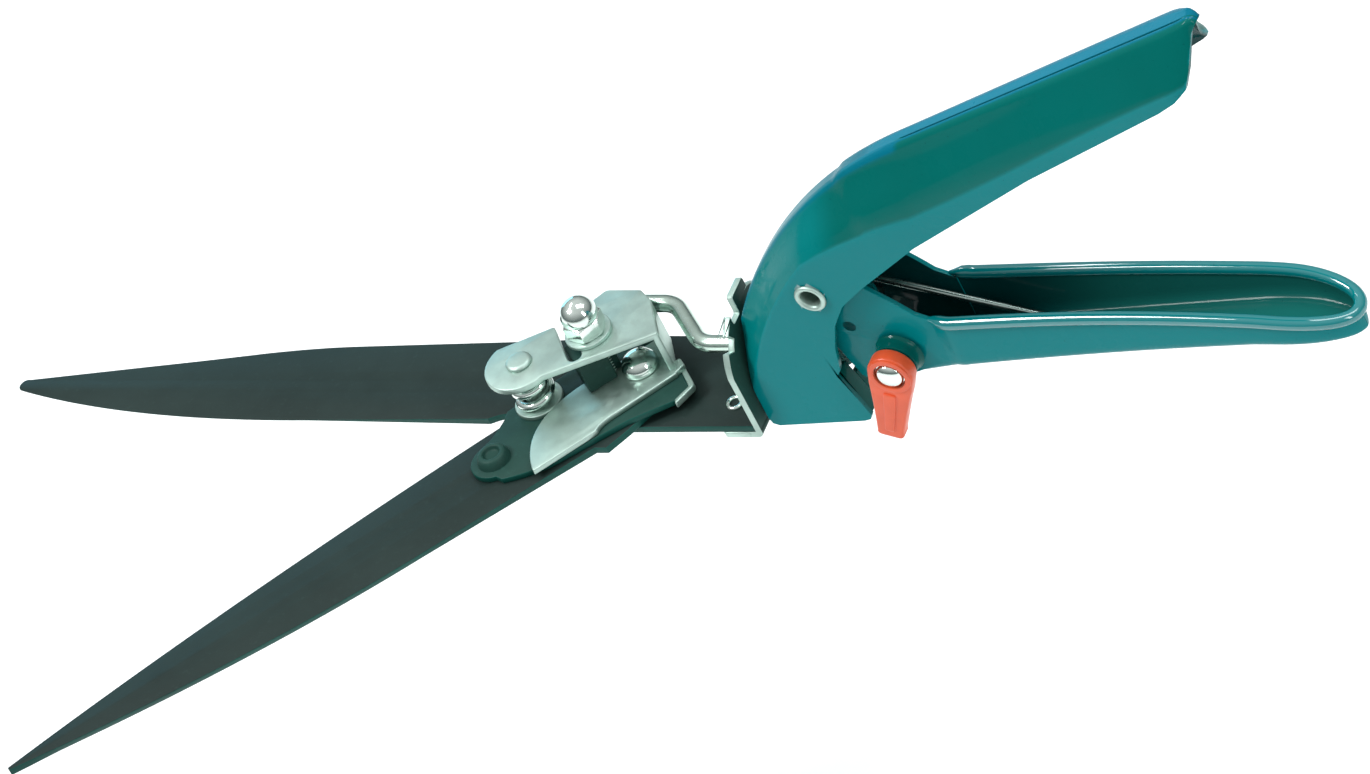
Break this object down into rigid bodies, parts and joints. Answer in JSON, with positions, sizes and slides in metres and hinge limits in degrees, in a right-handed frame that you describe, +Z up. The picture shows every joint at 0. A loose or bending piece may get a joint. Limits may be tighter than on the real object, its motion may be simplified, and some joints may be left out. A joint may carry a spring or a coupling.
{
  "type": "grass shears",
  "caption": "One-hand grass shears with a turning head: squeezing the sprung handles pulls a rod that swings one long blade across the other; lever lock",
  "frame": {"origin": "centre of the hollow handle eyelet, midway across the handles", "axes": "+X along the turning axis from the blades to the grips, +Z up from the blades to the upper handle, Y across the handles with -Y on the lock lever's side"},
  "size_m": [0.3466, 0.134, 0.1209],
  "materials": {
    "teal_paint": "gloss enamel",
    "dark_teal_paint": "satin enamel",
    "blade_coating": "satin non-stick coating",
    "zinc": "bright zinc plate",
    "spring_steel": "oiled spring steel",
    "orange_plastic": "semi-gloss moulded plastic"
  },
  "bodies": {
    "upper_handle": {"upper_handle": "teal_paint", "bearing_plate": "blade_coating", "pivot_eyelet": "zinc", "spring_spool": "spring_steel", "return_spring": "spring_steel", "index_spring": "spring_steel", "index_rivet": "zinc"},
    "head": {"front_plate": "zinc", "swivel_tube": "zinc", "retaining_ring": "zinc", "fixed_blade": "blade_coating", "tang_rivets": "zinc", "pivot_bolt": "zinc", "bolt_washer": "zinc", "pivot_nut": "zinc"},
    "moving_blade": {"moving_blade": "blade_coating", "carrier_plate": "blade_coating", "carrier_rivet": "blade_coating", "bridge_bracket": "zinc", "bridge_post": "zinc", "post_washer": "zinc", "post_spring": "spring_steel", "bridge_spacer": "blade_coating", "adjuster_bolt": "zinc", "adjuster_washer": "zinc", "acorn_nut": "zinc"},
    "pull_rod": {"pull_rod": "zinc", "rod_collars": "zinc"},
    "lower_handle": {"lower_handle": "teal_paint", "pull_yoke": "spring_steel", "yoke_rivets": "zinc", "lever_boss": "dark_teal_paint", "lever_screw": "zinc", "lever_nut": "zinc", "lever_washer": "zinc"},
    "lock_lever": {"lock_lever": "orange_plastic"}
  },
  "joints": [
    {"name": "squeeze", "type": "hinge", "parent": "upper_handle", "child": "lower_handle", "pos_m": [0, 0, 0], "axis": [0, -1, 0], "range_deg": [0, 23.5], "stiffness_Nm_per_rad": 0.6, "springref_deg": -28.65, "deforming": ["return_spring"]},
    {"name": "head_turn", "type": "hinge", "parent": "upper_handle", "child": "head", "pos_m": [-0.0265, 0, -0.025], "axis": [1, 0, 0], "range_deg": [-90, 90]},
    {"name": "blade_cut", "type": "hinge", "parent": "head", "child": "moving_blade", "pos_m": [-0.0595, 0, -0.025], "axis": [0, 0, -1], "range_deg": [0, 45.6]},
    {"name": "rod_pull", "type": "slide", "parent": "head", "child": "pull_rod", "axis": [1, 0, 0], "range_m": [0, 0.0102]},
    {"name": "lever_swing", "type": "hinge", "parent": "lower_handle", "child": "lock_lever", "pos_m": [0.0132, 0, -0.0194], "axis": [0, 1, 0], "range_deg": [0, 75]}
  ],
  "couplings": [
    {"joint": "blade_cut", "follows": "squeeze", "ratio": 1.94},
    {"joint": "rod_pull", "follows": "squeeze", "m_per_rad": 0.02486}
  ]
}
